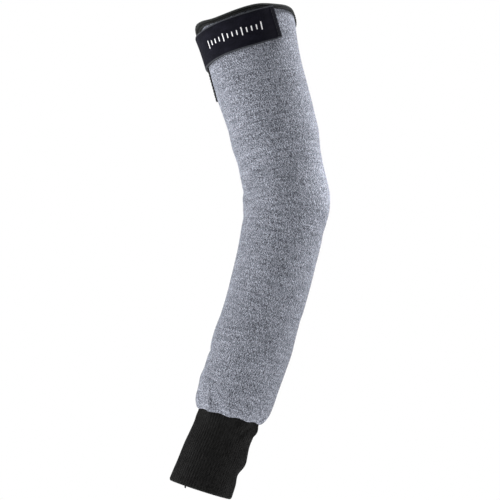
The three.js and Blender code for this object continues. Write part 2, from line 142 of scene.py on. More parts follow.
# Small creases that only the scene has, in the same columns
crease_rows = [
    (0.384, -50, 15, -0.01, 0.02, -0.006), (0.404, -45, 16, -0.008, 0.02, -0.012),
    (0.421, -52, 18, -0.008, 0.02, 0.006), (0.439, -45, 17, -0.006, 0.02, -0.013),
    (0.46, -48, 18, -0.005, 0.022, -0.008), (0.49, -46, 26, 0.004, 0.022, -0.005),
    (0.52, -42, 28, 0.006, 0.022, -0.006), (0.52, 58, 26, -0.03, 0.022, 0.004),
    (0.535, 60, 26, -0.03, 0.022, -0.004), (0.3, 46, 20, 0.03, 0.05, 0.003),
    (0.17, -30, 40, 0.03, 0.05, 0.004), (0.2, 30, 44, 0.01, 0.06, -0.004),
    (0.7, -40, 40, 0.02, 0.05, 0.004), (0.82, -50, 34, 0.04, 0.04, -0.005),
    (0.89, -44, 34, 0.04, 0.04, 0.004), (0.985, -36, 6, 0.02, 0.06, 0.026),
    (0.98, -21, 6, 0, 0.07, -0.012), (0.985, -4, 7, 0, 0.06, 0.015),
    (0.98, 13, 6, 0, 0.07, -0.01), (0.985, 31, 7, 0.02, 0.07, 0.02),
    (0.978, 49, 7, 0.03, 0.09, -0.014), (0.985, 66, 7, 0.03, 0.07, 0.028),
    (0.975, -54, 7, -0.02, 0.08, -0.012), (0.982, -72, 8, 0, 0.07, 0.014),
    (0.98, 110, 10, 0, 0.08, 0.012), (0.98, 140, 9, 0, 0.07, -0.01),
    (0.98, 168, 10, 0, 0.07, 0.013), (0.98, 200, 9, 0, 0.07, -0.009),
    (0.98, 228, 10, 0, 0.07, 0.012), (0.4, 170, 60, 0.03, 0.05, -0.006),
    (0.45, 190, 60, 0.03, 0.05, 0.005), (0.5, 176, 60, 0.02, 0.05, -0.006),
]
cuff_crease_rows = [
    (0.08, 44, 16, -0.16, 0.05, -0.022), (0.04, 30, 16, -0.12, 0.05, 0.012),
    (0.13, 66, 16, -0.14, 0.05, 0.012), (0.12, -56, 26, -0.06, 0.05, -0.008),
    (0.07, -40, 30, -0.05, 0.05, 0.008), (0.55, 20, 60, 0.1, 0.12, -0.006),
    (0.8, -20, 50, 0.08, 0.1, 0.005), (0.4, -60, 40, 0.1, 0.1, 0.006),
    (0.1, 90, 22, -0.1, 0.06, -0.03),
]


def through_rows(xs, ys, at):
    """A smooth curve through a table's rows, level beyond its ends."""
    xs = np.asarray(xs, float)
    ys = np.asarray(ys, float)
    at = np.clip(np.asarray(at, float), xs[0], xs[-1])
    last = len(xs) - 1
    slopes = np.zeros(len(xs))
    slopes[1:last] = (ys[2:] - ys[:-2]) / (xs[2:] - xs[:-2])
    row = np.clip(np.searchsorted(xs, at, side="left") - 1, 0, last - 1)
    span = xs[row + 1] - xs[row]
    t = (at - xs[row]) / span
    t2 = t * t
    t3 = t2 * t
    by_ends = (2 * t3 - 3 * t2 + 1) * ys[row] + (3 * t2 - 2 * t3) * ys[row + 1]
    return by_ends + ((t3 - 2 * t2 + t) * slopes[row] + (t3 - t2) * slopes[row + 1]) * span


def mix(a, b, share):
    return a + (b - a) * share


def ease(value, low, high):
    t = np.clip((value - low) / (high - low), 0, 1)
    return t * t * (3 - 2 * t)


upper_arm = [
    (at * UPPER_ARM_LENGTH, lean * UPPER_ARM_LEAN,
     mix(ELBOW_WIDTH, RIM_WIDTH, near), mix(ELBOW_DEPTH, RIM_DEPTH, near))
    for at, lean, near in upper_arm_rows
]
forearm = [
    (UPPER_ARM_LENGTH + at * FOREARM_LENGTH, -lean * FOREARM_LEAN,
     mix(FOREARM_WIDTH, ELBOW_WIDTH, near), mix(FOREARM_DEPTH, ELBOW_DEPTH, near))
    for at, lean, near in forearm_rows
]
stations = np.array(upper_arm + forearm)
cuff_stations = np.array([
    (HEM_ALONG + at * CUFF_LENGTH, -lean * FOREARM_LEAN, size * CUFF_WIDTH, size * CUFF_DEPTH)
    for at, lean, size in cuff_rows
])
lean_stations = np.concatenate([stations[:-1], cuff_stations])

# The arm's line, added up from short steps down its lean
LINE_STEP = 1
line_along = np.arange(0, SLEEVE_LENGTH + CUFF_SKEW, LINE_STEP)
line_lean = through_rows(lean_stations[:, 0], lean_stations[:, 1], line_along + LINE_STEP / 2) * DEGREE
line_x = np.concatenate([[0], np.cumsum(np.sin(line_lean) * LINE_STEP)])
line_z = np.concatenate([[0], -np.cumsum(np.cos(line_lean) * LINE_STEP)])


def arm_frame(along):
    lean = through_rows(lean_stations[:, 0], lean_stations[:, 1], along) * DEGREE
    step = np.clip(np.floor(along / LINE_STEP).astype(int), 0, len(line_x) - 2)
    rest = along / LINE_STEP - step
    x = mix(line_x[step], line_x[step + 1], rest)
    z = mix(line_z[step], line_z[step + 1], rest)
    return x, z, np.cos(lean), np.sin(lean)


def fall_of_rim(turn):
    turned = turn / DEGREE
    within = turned - 360 * np.floor((turned - SLIT_ROUND) / 360)
    rounds, drops = zip(*rim_rows)
    return RIM_DROP * through_rows(rounds, drops, within)


def scallop(turn):
    return np.cos(GATHER_COUNT * turn)


def hem_along(turn):
    return HEM_ALONG - HEM_SKEW * np.sin(turn) + GATHER_WAVE * scallop(turn)


def cuff_end_along(turn):
    return SLEEVE_LENGTH - CUFF_SKEW * np.sin(turn)


def fold_height(rows, turn, along, start, reach, size):
    """The sum of the folds at each place, as a height over the plain section."""
    height = np.zeros(np.broadcast(turn, along).shape)
    for at, middle_round, spans, slant, length, rise in rows:
        across = turn / DEGREE - middle_round
        across = (across - 360 * np.round(across / 360)) / spans
        down = (along - start - (at + slant * across) * reach) / (length * size)
        height = height + rise * size * np.exp(-across * across - down * down)
    return height


def section_point(turn, along, width, depth, height):
    x, z, side_x, side_z = arm_frame(along)
    side = (width / 2 + height) * np.sin(turn)
    front = (depth / 2 + height) * np.cos(turn)
    return np.stack([x + side_x * side, -front, z + side_z * side], axis=-1)


def tube_face(turn, along):
    pull = np.clip(1 - (hem_along(turn) - along) / GATHER_LENGTH, 0, 1)
    narrow = pull * pull
    width = through_rows(stations[:, 0], stations[:, 2], along)
    depth = through_rows(stations[:, 0], stations[:, 3], along)
    height = fold_height(fold_rows, turn, along, 0, HEM_ALONG, FOREARM_WIDTH)
    height = height + GATHER_DEPTH * narrow * scallop(turn)
    return section_point(turn, along, mix(width, HEM_WIDTH, narrow), mix(depth, HEM_DEPTH, narrow), height)


# Steps that a face's slopes are taken over, in radians and in millimetres
NEAR_ROUND = 0.01
NEAR_ALONG = 0.4


def off_face(face, turn, along, off):
    """Points that lie off a face, outwards along its normal."""
    turned = face(turn + NEAR_ROUND, along) - face(turn - NEAR_ROUND, along)
    down = face(turn, along + NEAR_ALONG) - face(turn, along - NEAR_ALONG)
    normal = np.cross(down, turned)
    normal /= np.linalg.norm(normal, axis=-1, keepdims=True)
    return face(turn, along) + normal * np.asarray(off, float)[..., None]


def in_pairs(first, second):
    """Two sets of values side by side, over one grid."""
    return np.stack(np.broadcast_arrays(first, second), axis=-1)


def off_tube(turn, along, off):
    turn, along, off = np.broadcast_arrays(turn, along, off)
    return off_face(tube_face, turn, along, off)


def cuff_face(turn, along):
    inside = off_tube(turn, along, -(TUBE_WALL + CLEARANCE))
    folds = fold_height(cuff_fold_rows, turn, along, HEM_ALONG, CUFF_LENGTH, CUFF_WIDTH)
    width = through_rows(cuff_stations[:, 0], cuff_stations[:, 2], along)
    depth = through_rows(cuff_stations[:, 0], cuff_stations[:, 3], along)
    own = section_point(turn, along, width, depth, folds)
    hem = hem_along(turn)
    return mix(inside, own, ease(along, hem, hem + SEAM_EASE)[..., None])


def off_cuff(turn, along, off):
    turn, along, off = np.broadcast_arrays(turn, along, off)
    return off_face(cuff_face, turn, along, off)


def placed(name, data):
    """A new object in the scene."""
    thing = bpy.data.objects.new(name, data)
    bpy.context.scene.collection.objects.link(thing)
    return thing


class Shell:
    """Collects grids of points and faces, and makes one mesh object of them."""

    def __init__(self):
        self.points = []
        self.places = []
        self.faces = []
        self.count = 0

    def grid(self, points, places):
        """Adds a grid of points with a pattern place for each, and gives back its numbers."""
        rows, columns = points.shape[:2]
        numbers = self.count + np.arange(rows * columns).reshape(rows, columns)
        self.points.append(points.reshape(-1, 3))
        self.places.append(np.broadcast_to(places, (rows, columns, 2)).reshape(-1, 2))
        self.count += rows * columns
        return numbers

    def band(self, upper, lower):
        """Joins two rows of numbers by quads, which face out where the rows run with round."""
        self.faces.append(np.stack([upper[:-1], lower[:-1], lower[1:], upper[1:]], axis=-1))

    def sheet(self, numbers, out=True):
        rows = numbers if out else numbers[::-1]
        for upper, lower in zip(rows[:-1], rows[1:]):
            self.band(upper, lower)

    def build(self, name, material, slot):
        points = np.concatenate(self.points) * MM
        places = np.concatenate(self.places)
        faces = np.concatenate(self.faces)
        mesh = bpy.data.meshes.new(name)
        mesh.vertices.add(len(points))
        mesh.vertices.foreach_set("co", points.astype(np.float32).ravel())
        mesh.loops.add(faces.size)
        mesh.loops.foreach_set("vertex_index", faces.ravel().astype(np.int32))
        mesh.polygons.add(len(faces))
        mesh.polygons.foreach_set("loop_start", np.arange(0, faces.size, 4, dtype=np.int32))
        mesh.polygons.foreach_set("loop_total", np.full(len(faces), 4, dtype=np.int32))
        mesh.update(calc_edges=True)
        mesh.validate()
        layer = mesh.uv_layers.new(name="pattern")
        layer.data.foreach_set("uv", places[faces.ravel()].astype(np.float32).ravel())
        mesh.polygons.foreach_set("use_smooth", np.full(len(faces), True))
        mesh.materials.append(material)
        piece = placed(name, mesh)
        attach(piece, "root")
        return piece


SHEEN_ROUGHNESS = 0.4


class Nodes:
    """Short words for building a material's node tree."""

    def __init__(self, name):
        self.material = bpy.data.materials.new(name)
        self.material.use_nodes = True
        self.tree = self.material.node_tree
        self.shader = self.tree.nodes["Principled BSDF"]

    def put(self, socket, value):
        if isinstance(value, bpy.types.NodeSocket):
            self.tree.links.new(value, socket)
        else:
            socket.default_value = value

    def make(self, kind, **settings):
        node = self.tree.nodes.new(kind)
        for key, value in settings.items():
            setattr(node, key, value)
        return node

    def math(self, operation, *values, clamp=False):
        node = self.make("ShaderNodeMath", operation=operation, use_clamp=clamp)
        for socket, value in zip(node.inputs, values):
            self.put(socket, value)
        return node.outputs[0]

    def plus(self, first, second):
        return self.math("ADD", first, second)

    def less(self, first, second):
        return self.math("SUBTRACT", first, second)

    def times(self, first, second):
        return self.math("MULTIPLY", first, second)

    def from_half(self, value):
        """How far a value's fraction is from a half."""
        return self.math("ABSOLUTE", self.less(self.math("FRACT", value), 0.5))

    def arch(self, value):
        """A hump over each whole step of a value."""
        return self.math("SINE", self.times(self.math("FRACT", value), math.pi))

    def place(self):
        """The place in the pattern, along and across."""
        node = self.make("ShaderNodeUVMap", uv_map="pattern")
        split = self.make("ShaderNodeSeparateXYZ")
        self.put(split.inputs[0], node.outputs[0])
        return split.outputs[0], split.outputs[1]

    def point(self, x, y, z=0.0):
        node = self.make("ShaderNodeCombineXYZ")
        for socket, value in zip(node.inputs, (x, y, z)):
            self.put(socket, value)
        return node.outputs[0]

    def noise(self, vector, scale=1.0, detail=2.0, roughness=0.5):
        node = self.make("ShaderNodeTexNoise")
        settings = {"Vector": vector, "Scale": scale, "Detail": detail, "Roughness": roughness}
        for key, value in settings.items():
            self.put(node.inputs[key], value)
        return node.outputs[0]

    def cell(self, vector):
        """A random value for each whole step of a vector."""
        node = self.make("ShaderNodeTexWhiteNoise", noise_dimensions="3D")
        self.put(node.inputs["Vector"], vector)
        return node.outputs[0]

    def ramp(self, value, *stops):
        node = self.make("ShaderNodeValToRGB")
        self.put(node.inputs[0], value)
        elements = node.color_ramp.elements
        while len(elements) < len(stops):
            elements.new(0.5)
        for element, (position, colour) in zip(elements, stops):
            element.position = position
            element.color = (*colour, 1)
        return node.outputs[0]

    def blend(self, share, first, second):
        node = self.make("ShaderNodeMix", data_type="RGBA")
        self.put(node.inputs[0], share)
        self.put(node.inputs[6], first)
        self.put(node.inputs[7], second)
        return node.outputs[2]

    def bump(self, height, distance, strength=1.0):
        node = self.make("ShaderNodeBump")
        node.inputs["Strength"].default_value = strength
        node.inputs["Distance"].default_value = distance
        self.put(node.inputs["Height"], height)
        self.put(self.shader.inputs["Normal"], node.outputs[0])

    def colour(self, value):
        self.put(self.shader.inputs["Base Color"], value)

    def finish(self, roughness, sheen, tint, gloss):
        settings = {
            "Roughness": roughness, "Specular IOR Level": gloss, "Sheen Weight": sheen,
            "Sheen Roughness": SHEEN_ROUGHNESS, "Sheen Tint": (*tint, 1),
        }
        for key, value in settings.items():
            self.shader.inputs[key].default_value = value
        return self.material


# The pattern places of the knits count stitches: across by wales and down by courses
WALE_COUNT = 140
COURSE_HEIGHT = 1.15
RIB_COUNT = 72
RIB_COURSE_HEIGHT = 1.4

# The knit's stitches, in wales and courses
COURSE_WOBBLE = 1.1
WOBBLE_WALE = 0.09
WOBBLE_COURSE = 0.07
STITCH_SLANT = 1.5
LEG_POWER = 0.6
TURN_POWER = 0.7
STITCH_SHADE = 0.45
FUZZ_SHARE = 0.35
FUZZ_SCALE = 3.0
FUZZ_ROUGHNESS = 0.6
KNIT_BUMP = 0.00028

# The marl's tone is a sum of flecks, fine flecks unlike their neighbours, streaks and a cloud
FLECK_SHARE = 0.16
FINE_SHARE = 0.72
STREAK_SHARE = 0.5
CLOUD_SHARE = 0.08
UNLIKE_BESIDE = -0.34
UNLIKE_BELOW = -0.2
UNLIKE_LIFT = 0.07
STREAK_WALE = 0.11
STREAK_ROW = 7.31
CLOUD_WALE = 0.12
CLOUD_COURSE = 0.1
MARL_TONES = (
    (0.15, (0.0105, 0.0113, 0.0145)),
    (0.42, (0.048, 0.051, 0.0625)),
    (0.7, (0.127, 0.1335, 0.156)),
    (1.0, (0.285, 0.298, 0.343)),
)

# Each noise has a layer of its own
FUZZ_LAYER = 2.0
FLECK_LAYER = 3.0
CLOUD_LAYER = 5.0
FINE_LAYER = 9.0


def knit_material():
    """Plain marl knit: V stitches in relief with painted shade between them, and light and dark flecks
    along the courses.
    """
    n = Nodes("grey_knit")
    wale, course = n.place()
    wobble = n.noise(n.point(n.times(wale, WOBBLE_WALE), n.times(course, WOBBLE_COURSE)))
    course = n.plus(course, n.times(wobble, COURSE_WOBBLE))
    half = n.from_half(wale)
    slanted = n.plus(course, n.times(half, STITCH_SLANT))
    leg = n.math("SINE", n.times(half, TURN))
    stitch = n.times(n.math("POWER", leg, LEG_POWER), n.math("POWER", n.arch(slanted), TURN_POWER))
    row = n.math("FLOOR", slanted)
    side = n.math("FLOOR", n.times(wale, 2.0))
    half_row = n.math("FLOOR", n.times(slanted, 2.0))
    fleck = n.cell(n.point(n.math("FLOOR", n.times(side, 0.5)), row, FLECK_LAYER))
    fine = n.cell(n.point(side, half_row, FINE_LAYER))
    beside = n.cell(n.point(n.plus(side, 1.0), half_row, FINE_LAYER))
    below = n.cell(n.point(side, n.plus(half_row, 1.0), FINE_LAYER))
    unlike = n.plus(n.times(beside, UNLIKE_BESIDE), n.times(below, UNLIKE_BELOW))
    fine = n.plus(n.plus(fine, unlike), UNLIKE_LIFT)
    streak = n.noise(n.point(n.times(wale, STREAK_WALE), n.times(row, STREAK_ROW)), detail=1.0)
    cloud_place = n.point(n.times(wale, CLOUD_WALE), n.times(course, CLOUD_COURSE), CLOUD_LAYER)
    cloud = n.noise(cloud_place, detail=3.0)
    tone = n.plus(n.times(fleck, FLECK_SHARE), n.times(fine, FINE_SHARE))
    tone = n.plus(tone, n.times(streak, STREAK_SHARE))
    tone = n.plus(tone, n.times(cloud, CLOUD_SHARE))
    # Painted shade: the colour is darkened where the stitch relief is low, between its legs and its
    # courses
    deep = n.less(1.0, n.times(n.less(1.0, stitch), STITCH_SHADE))
    shade = n.make("ShaderNodeMix", data_type="RGBA", blend_type="MULTIPLY")
    shade.inputs[0].default_value = 1.0
    n.put(shade.inputs[6], n.ramp(tone, *MARL_TONES))
    n.put(shade.inputs[7], n.point(deep, deep, deep))
    n.colour(shade.outputs[2])
    fuzz = n.noise(n.point(wale, course, FUZZ_LAYER), FUZZ_SCALE, detail=3.0, roughness=FUZZ_ROUGHNESS)
    n.bump(n.plus(stitch, n.times(fuzz, FUZZ_SHARE)), KNIT_BUMP)
    return n.finish(roughness=0.9, sheen=0.06, tint=(0.84, 0.88, 1.0), gloss=0.04)


# The rib knit's stitches, in ribs and courses
RIB_SLANT = 1.2
RIB_CELL_SHARE = 0.45
RIB_CLOUD_SHARE = 0.55
RIB_CLOUD_ACROSS = 0.15
RIB_CLOUD_DOWN = 0.08
RIB_SHADE = 0.45
RIB_LAYER = 1.0
RIB_TONES = (
    (0.1, (0.0014, 0.0014, 0.0014)),
    (0.9, (0.0072, 0.0071, 0.007)),
)
RIB_BUMP = 0.0004


def rib_material():
    """Black rib knit: fine stitches down each rib, which is itself in the mesh. Painted shade darkens each
    stitch where its relief is low.
    """
    n = Nodes("black_rib_knit")
    rib, course = n.place()
    slanted = n.plus(course, n.times(n.from_half(rib), RIB_SLANT))
    turn = n.arch(slanted)
    cell = n.cell(n.point(n.math("FLOOR", n.times(rib, 2.0)), n.math("FLOOR", slanted), RIB_LAYER))
    cloud = n.noise(n.point(n.times(rib, RIB_CLOUD_ACROSS), n.times(course, RIB_CLOUD_DOWN)), detail=3.0)
    tone = n.plus(n.times(cell, RIB_CELL_SHARE), n.times(cloud, RIB_CLOUD_SHARE))
    # Painted shade: the tone is darkened where the stitch relief is low
    tone = n.times(tone, n.plus(1 - RIB_SHADE, n.times(turn, RIB_SHADE)))
    n.colour(n.ramp(tone, *RIB_TONES))
    n.bump(turn, RIB_BUMP, strength=0.9)
    return n.finish(roughness=0.9, sheen=0.012, tint=(1.0, 1.0, 1.0), gloss=0.03)


# The tapes' cloth, in millimetres along and across
PILE_SHARE = 0.7
PILE_SCALE = 0.9
PILE_ROUGHNESS = 0.75
PATCH_SHARE = 0.4
PATCH_ALONG = 0.12
PATCH_ACROSS = 0.2
PATCH_LAYER = 4.0
WOVEN_SHARE = 0.08
WOVEN_RELIEF = 0.5
TAPE_DARKEST = 0.3
TAPE_LIGHTEST = 0.8
TAPE_BUMP = 0.0004


def tape_material(name, dark, light, sheen, gloss, tint, weave):
    """Woven or brushed black tape. Its pattern places are millimetres along and across."""
    n = Nodes(name)
    along, across = n.place()
    warp = n.math("SINE", n.times(across, TURN / weave))
    weft = n.math("SINE", n.times(along, TURN / weave))
    woven = n.times(warp, weft)
    pile = n.noise(n.point(along, across), PILE_SCALE, detail=4.0, roughness=PILE_ROUGHNESS)
    patch = n.noise(n.point(n.times(along, PATCH_ALONG), n.times(across, PATCH_ACROSS), PATCH_LAYER))
    tone = n.plus(n.times(pile, PILE_SHARE), n.times(patch, PATCH_SHARE))
    tone = n.plus(tone, n.times(woven, WOVEN_SHARE))
    n.colour(n.ramp(tone, (TAPE_DARKEST, dark), (TAPE_LIGHTEST, light)))
    n.bump(n.plus(n.times(woven, WOVEN_RELIEF), pile), TAPE_BUMP, strength=0.8)
    return n, n.finish(roughness=0.85, sheen=sheen, tint=tint, gloss=gloss)


# Plain marks in a row along the strap, to close it evenly by: places in millimetres
MARK_START = -38
MARK_PITCH = 4
MARK_COUNT = 13
MARK_HALF = 0.4
MARK_REACH = 2.2
MARK_TALL_EVERY = 4
MARK_TALL = 1.5
MARK_COLOUR = (0.5, 0.5, 0.51, 1)
MARK_WEAR = 0.3
WEAR_SCALE = 1.6
WEAR_LAYER = 8.0
# Painted highlight along both edges of the strap: its width in millimetres, its share and its colour
EDGE_LINE = 1.1
EDGE_HIGHLIGHT_SHARE = 0.7
EDGE_HIGHLIGHT_COLOUR = (0.034, 0.036, 0.04, 1)

# Painted shade in the binding's sunk stitch line, in millimetres from the middle of the fold
STITCH_LINE = 4.3
STITCH_LINE_HALF = 1.1
STITCH_LINE_SHADE_SHARE = 0.92
STITCH_LINE_SHADE_COLOUR = (0.0004, 0.0004, 0.0004, 1)


def finish_strap(n):
    """Paints a highlight along the strap's woven edges, and adds a row of plain printed marks."""
    along, across = n.place()
    cloth = n.shader.inputs["Base Color"].links[0].from_socket
    from_middle = n.math("ABSOLUTE", n.less(across, STRAP_WIDTH / 2))
    at_edge = n.math("GREATER_THAN", from_middle, STRAP_WIDTH / 2 - EDGE_LINE)
    # Painted highlight: both edges of the strap are made paler
    edge_highlighted = n.blend(n.times(at_edge, EDGE_HIGHLIGHT_SHARE), cloth, EDGE_HIGHLIGHT_COLOUR)
    steps = n.math("DIVIDE", n.less(along, MARK_START), MARK_PITCH)
    number = n.math("ROUND", steps)
    near = n.math("ABSOLUTE", n.times(n.less(steps, number), MARK_PITCH))
    tall = n.math("LESS_THAN", n.math("FLOORED_MODULO", number, MARK_TALL_EVERY), 0.5)
    reach = n.plus(MARK_REACH, n.times(tall, MARK_TALL))
    inside = n.times(n.math("LESS_THAN", near, MARK_HALF), n.math("LESS_THAN", from_middle, reach))
    after_first = n.math("GREATER_THAN", number, -0.5)
    before_last = n.math("LESS_THAN", number, MARK_COUNT - 0.5)
    worn = n.noise(n.point(along, across, WEAR_LAYER), WEAR_SCALE, detail=3.0)
    printed = n.times(inside, n.times(after_first, before_last))
    kept = n.math("MULTIPLY_ADD", worn, MARK_WEAR, 1 - MARK_WEAR)
    n.colour(n.blend(n.math("MULTIPLY", printed, kept, clamp=True), edge_highlighted, MARK_COLOUR))


def finish_binding(n):
    """Paints shade into the sunk stitch line that runs along both edges of the folded tape."""
    across = n.place()[1]
    from_line = n.math("ABSOLUTE", n.less(n.math("ABSOLUTE", across), STITCH_LINE))
    sunk = n.math("SUBTRACT", 1.0, n.math("DIVIDE", from_line, STITCH_LINE_HALF), clamp=True)
    cloth = n.shader.inputs["Base Color"].links[0].from_socket
    # Painted shade: the tape is darkened to near black along the sunk stitch line
    deep = n.times(n.math("POWER", sunk, 0.5), STITCH_LINE_SHADE_SHARE)
    n.colour(n.blend(deep, cloth, STITCH_LINE_SHADE_COLOUR))


# Sewing thread: how often it twists, and the tone of the painted shade in the grooves of its twist
TWIST = 6.0
TWIST_GROOVE_SHADE = 0.5
THREAD_BUMP = 0.0001


def thread_material(name, light):
    """Twisted sewing thread, with painted shade in the grooves of its twist."""
    n = Nodes(name)
    along, across = n.place()
    twist = n.math("SINE", n.times(n.plus(along, across), TWIST))
    # Painted shade: the thread is darker where the relief of its twist is low
    dark = tuple(TWIST_GROOVE_SHADE * value for value in light)
    n.colour(n.ramp(n.plus(0.5, n.times(twist, 0.5)), (0.2, dark), (0.8, light)))
    n.bump(twist, THREAD_BUMP)
    return n.finish(roughness=0.8, sheen=0.02, tint=(1.0, 1.0, 1.0), gloss=0.05)


grey_knit = knit_material()
rib_knit = rib_material()
binding_nodes, binding_tape = tape_material(
    "black_binding_tape", dark=(0.0056, 0.006, 0.006), light=(0.0195, 0.0205, 0.0205),
    sheen=0.011, gloss=0.024, tint=(0.95, 1.0, 1.0), weave=0.7,
)
strap_nodes, strap_tape = tape_material(
    "black_strap_tape", dark=(0.0004, 0.0005, 0.001), light=(0.0052, 0.0051, 0.0085),
    sheen=0.006, gloss=0.02, tint=(0.8, 0.92, 1.0), weave=0.9,
)
loop_pile = tape_material(
    "black_loop_pile", dark=(0.005, 0.005, 0.006), light=(0.02, 0.02, 0.023),
    sheen=0.3, gloss=0.08, tint=(1.0, 1.0, 1.0), weave=0.6,
)[1]
finish_strap(strap_nodes)
finish_binding(binding_nodes)
black_thread = thread_material("black_thread", (0.016, 0.016, 0.018))
grey_thread = thread_material("grey_thread", (0.2, 0.21, 0.24))


# Steps of the fine meshes
CORNER_STEPS = 8
SLIT_STEPS = 30
ROUND_STEPS = 200
TUBE_ROWS = 320
INNER_ROWS = 56
CUFF_SEAM_ROWS = 5
CUFF_ROWS = 42
COLUMNS_PER_RIB = 7
FOLD_STEPS = 6
STRAP_STEPS = 150
STRAP_ACROSS = 33
PAD_STEPS = 90
PAD_ACROSS = 21

# Lengths over the rim and the slit, in millimetres
GIRTH = RIM_DEPTH / 2
FRONT_CORNER_REACH = 25
FRONT_CORNER_FALL = 12
SLIT_MIDDLE = SLIT_ROUND * DEGREE


def slit_half(along):
    return mix(SLIT_MOUTH, SLIT_FOOT, along / SLIT_LENGTH) / 2


def slit_edge(inset, reach, fall):
    """The slit's free edge, across and along, with a corner of this reach and fall at the rim."""
    foot = SLIT_FOOT / 2 + inset
    foot_start = SLIT_LENGTH - SLIT_FOOT / 2
    corner = np.arange(CORNER_STEPS, 0, -1) / CORNER_STEPS * math.pi / 2
    across = list(slit_half(fall) + inset + (reach - inset) * (1 - np.cos(corner)))
    along = list(fall - (fall - inset) * np.sin(corner))
    for i in range(SLIT_STEPS):
        down = mix(fall, foot_start, i / SLIT_STEPS)
        across.append(slit_half(down) + inset)
        along.append(down)
    end = np.arange(0, CORNER_STEPS + 1) / CORNER_STEPS * math.pi / 2
    across += list(foot * np.cos(end))
    along += list(foot_start + foot * np.sin(end))
    return np.array(across), np.array(along)


# The front corner, which the strap pulls round the arm, is longer than the back one
front_corner = (FRONT_CORNER_REACH, FRONT_CORNER_FALL)
back_corner = (CORNER_RADIUS, CORNER_RADIUS)
front_across, front_along = slit_edge(CLEARANCE, *front_corner)
back_across, back_along = slit_edge(CLEARANCE, *back_corner)
corner_front = front_across[:CORNER_STEPS + 1] / GIRTH
corner_back = back_across[:CORNER_STEPS + 1] / GIRTH
plain = ROUND_STEPS - 2 * CORNER_STEPS
turns = np.concatenate([
    corner_front[::-1],
    mix(corner_front[0], TURN - corner_back[0], np.arange(1, plain) / plain),
    TURN - corner_back,
])
LAST = len(turns) - 1
column_share = (turns - turns[0]) / (turns[LAST] - turns[0])


def column_round(front_half, back_half):
    return SLIT_MIDDLE + mix(front_half, TURN - back_half, column_share)


def stitch_places(turn, along):
    """Pattern places of the knit: wales round the arm and courses down it."""
    return in_pairs((turn - SLIT_MIDDLE) / TURN * WALE_COUNT, -along / COURSE_HEIGHT)


def slit_shares(along):
    """How far down its side each step of a slit's edge is."""
    return (along - along[CORNER_STEPS]) / (along[-1] - along[CORNER_STEPS])


def ring_closed(numbers, first_closed):
    """Below the slit, the last column is the first one again."""
    numbers = numbers.copy()
    numbers[first_closed:, LAST] = numbers[first_closed:, 0]
    return numbers


# The hem turns in to its seam, and leaves so much of the wall
HEM_TURN = 2
HEM_LEFT = 0.25

# How high and deep the small creases go, and where they calm down
CREASE_HIGHEST = 1.9
CREASE_DEEPEST = -0.8
HEM_CALM = 4
SLIT_CALM = 30


def sleeve_tube():
    """The knit tube, outside and inside, open at the rim, the slit and the hem."""
    shell = Shell()
    round_top = SLIT_MIDDLE + turns
    climb = fall_of_rim(round_top + NEAR_ROUND) - fall_of_rim(round_top - NEAR_ROUND)
    under = CLEARANCE * np.hypot(1, climb / (NEAR_ROUND * RIM_DEPTH))
    under[:CORNER_STEPS] = front_along[CORNER_STEPS:0:-1]
    under[LAST - CORNER_STEPS + 1:] = back_along[1:CORNER_STEPS + 1]
    top_along = fall_of_rim(round_top) + under
    foot_along = front_along[-1]
    front_shares = slit_shares(front_along)
    back_shares = slit_shares(back_along)
    rounds = []
    alongs = []
    for i in range(CORNER_STEPS, len(front_along)):
        share = mix(front_shares[i], back_shares[i], column_share)
        rounds.append(column_round(front_across[i] / GIRTH, back_across[i] / GIRTH))
        alongs.append(mix(top_along, foot_along, share))
    foot_row = len(rounds) - 1
    closed = column_round(0, 0)
    end = hem_along(closed)
    for i in range(1, TUBE_ROWS + 1):
        rounds.append(closed)
        alongs.append(mix(foot_along, end, i / TUBE_ROWS))
    rounds = np.array(rounds)
    alongs = np.array(alongs)

    above_hem = hem_along(rounds) - alongs
    turned_in = np.clip(1 - above_hem / HEM_TURN, 0, 1)
    tuck = -(TUBE_WALL - HEM_LEFT) * (1 - np.sqrt(1 - turned_in ** 2))
    creases = fold_height(crease_rows, rounds, alongs, 0, HEM_ALONG, FOREARM_WIDTH)
    creases = np.clip(creases, CREASE_DEEPEST, CREASE_HIGHEST)
    calm = ease(above_hem, 0, HEM_CALM) * ease(alongs, SLIT_LENGTH - SLIT_CALM, SLIT_LENGTH)
    outer = off_tube(rounds, alongs, tuck + creases * calm)
    keep = np.unique(np.concatenate([
        np.arange(0, foot_row + 1),
        np.linspace(foot_row, len(rounds) - 1, INNER_ROWS).astype(int),
    ]))
    inner = off_tube(rounds[keep], alongs[keep], -TUBE_WALL)
    outside = ring_closed(shell.grid(outer, stitch_places(rounds, alongs)), foot_row)
    inside = ring_closed(shell.grid(inner, stitch_places(rounds[keep], alongs[keep])), foot_row)
    shell.sheet(outside)
    shell.sheet(inside, out=False)
    shell.band(inside[0], outside[0])
    shell.band(outside[-1], inside[-1])
    shell.band(outside[:foot_row + 1, 0], inside[:foot_row + 1, 0])
    shell.band(inside[:foot_row + 1, LAST], outside[:foot_row + 1, LAST])
    piece = shell.build("sleeve_knit", grey_knit, "grey_knit")
    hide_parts("sleeve_tube")


# The ribs, the rolled lower edge and the creases of the cuff
RIB_GROOVE = 0.5
RIB_ROUNDNESS = 0.7
INNER_GROOVE = 0.35
ROLL_LENGTH = 1.6
ROLL_DEPTH = 0.8
INNER_ROLL = 0.6
CUFF_CREASE_HIGHEST = 0.7
CUFF_CREASE_DEEPEST = -1.1
CUFF_CALM_FROM = 1
CUFF_CALM_TO = 5


